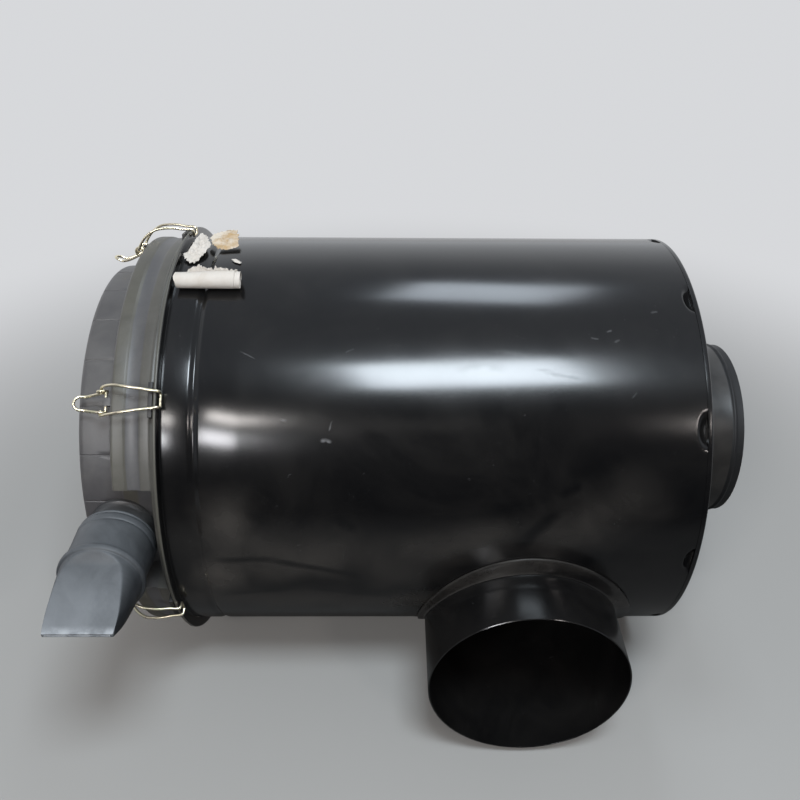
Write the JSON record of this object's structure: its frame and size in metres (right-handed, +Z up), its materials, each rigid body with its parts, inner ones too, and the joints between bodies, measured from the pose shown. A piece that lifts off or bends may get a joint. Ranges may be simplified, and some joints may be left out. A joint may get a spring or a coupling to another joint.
{
  "type": "cyclone air cleaner housing",
  "caption": "Cylindrical cyclone air cleaner lying on its side: tangential inlet, axial outlet, clipped dust cover and rubber dust valve.",
  "frame": {"origin": "centre of the footprint, on the floor that the housing lies on", "axes": "+X along the cylinder from the dust cover to the outlet, -Y the way the side inlet points, +Z up"},
  "size_m": [0.7013, 0.5766, 0.4725],
  "materials": {
    "shell": "semi-gloss black paint",
    "trim": "semi-gloss black paint",
    "pipes": "semi-gloss black paint",
    "cover": "moulded grey-black plastic",
    "rubber": "matte moulded rubber",
    "gasket": "matte rubber",
    "wire": "yellow zinc plated wire",
    "element": "pleated filter medium",
    "label": "torn label stock"
  },
  "bodies": {
    "housing": {"body_shell": "shell", "body_flange": "trim", "end_plate": "trim", "outlet_tube": "pipes", "inlet_pipe": "pipes", "inlet_collar": "trim", "guard_sleeve": "trim", "filter_element": "element", "element_cap": "gasket", "dust_cover": "cover", "cover_gasket": "gasket", "dust_valve": "rubber", "label_curl": "label", "clip_lug_1": "cover", "keeper_1": "trim", "clip_lug_2": "cover", "keeper_2": "trim", "clip_lug_3": "cover", "keeper_3": "trim", "clip_lug_4": "cover", "keeper_4": "trim", "clip_lug_5": "cover", "keeper_5": "trim", "clip_lug_6": "cover", "keeper_6": "trim"},
    "lever_1": {"clip_lever_1": "wire"},
    "bail_1": {"clip_bail_1": "wire"},
    "lever_2": {"clip_lever_2": "wire"},
    "bail_2": {"clip_bail_2": "wire"},
    "lever_3": {"clip_lever_3": "wire"},
    "bail_3": {"clip_bail_3": "wire"},
    "lever_4": {"clip_lever_4": "wire"},
    "bail_4": {"clip_bail_4": "wire"},
    "lever_5": {"clip_lever_5": "wire"},
    "bail_5": {"clip_bail_5": "wire"},
    "lever_6": {"clip_lever_6": "wire"},
    "bail_6": {"clip_bail_6": "wire"}
  },
  "joints": [
    {"name": "lever_1_hinge", "type": "hinge", "parent": "housing", "child": "lever_1", "pos_m": [-0.314, -0.10875, 0.38105], "axis": [0, 0.6691, 0.7431], "range_deg": [0, 105]},
    {"name": "bail_1_hinge", "type": "hinge", "parent": "lever_1", "child": "bail_1", "pos_m": [-0.31942, -0.10744, 0.37987], "axis": [0, 0.6691, 0.7431], "range_deg": [-111, 0]},
    {"name": "lever_2_hinge", "type": "hinge", "parent": "housing", "child": "lever_2", "pos_m": [-0.314, 0.09706, 0.44792], "axis": [0, 0.9781, -0.2079], "range_deg": [0, 105]},
    {"name": "bail_2_hinge", "type": "hinge", "parent": "lever_2", "child": "bail_2", "pos_m": [-0.31942, 0.09669, 0.4462], "axis": [0, 0.9781, -0.2079], "range_deg": [-111, 0]},
    {"name": "lever_3_hinge", "type": "hinge", "parent": "housing", "child": "lever_3", "pos_m": [-0.314, 0.25787, 0.30312], "axis": [0, 0.309, -0.9511], "range_deg": [0, 105]},
    {"name": "bail_3_hinge", "type": "hinge", "parent": "lever_3", "child": "bail_3", "pos_m": [-0.31942, 0.2562, 0.30258], "axis": [0, 0.309, -0.9511], "range_deg": [-111, 0]},
    {"name": "lever_4_hinge", "type": "hinge", "parent": "housing", "child": "lever_4", "pos_m": [-0.314, 0.21288, 0.09145], "axis": [0, -0.6691, -0.7431], "range_deg": [0, 105]},
    {"name": "bail_4_hinge", "type": "hinge", "parent": "lever_4", "child": "bail_4", "pos_m": [-0.31942, 0.21157, 0.09263], "axis": [0, -0.6691, -0.7431], "range_deg": [-111, 0]},
    {"name": "lever_5_hinge", "type": "hinge", "parent": "housing", "child": "lever_5", "pos_m": [-0.314, 0.00707, 0.02458], "axis": [0, -0.9781, 0.2079], "range_deg": [0, 105]},
    {"name": "bail_5_hinge", "type": "hinge", "parent": "lever_5", "child": "bail_5", "pos_m": [-0.31942, 0.00744, 0.0263], "axis": [0, -0.9781, 0.2079], "range_deg": [-111, 0]},
    {"name": "lever_6_hinge", "type": "hinge", "parent": "housing", "child": "lever_6", "pos_m": [-0.314, -0.15374, 0.16938], "axis": [0, -0.309, 0.9511], "range_deg": [0, 105]},
    {"name": "bail_6_hinge", "type": "hinge", "parent": "lever_6", "child": "bail_6", "pos_m": [-0.31942, -0.15207, 0.16992], "axis": [0, -0.309, 0.9511], "range_deg": [-111, 0]}
  ],
  "couplings": [
    {"joint": "bail_1_hinge", "follows": "lever_1_hinge", "ratio": -1.05},
    {"joint": "bail_2_hinge", "follows": "lever_2_hinge", "ratio": -1.05},
    {"joint": "bail_3_hinge", "follows": "lever_3_hinge", "ratio": -1.05},
    {"joint": "bail_4_hinge", "follows": "lever_4_hinge", "ratio": -1.05},
    {"joint": "bail_5_hinge", "follows": "lever_5_hinge", "ratio": -1.05},
    {"joint": "bail_6_hinge", "follows": "lever_6_hinge", "ratio": -1.05}
  ]
}
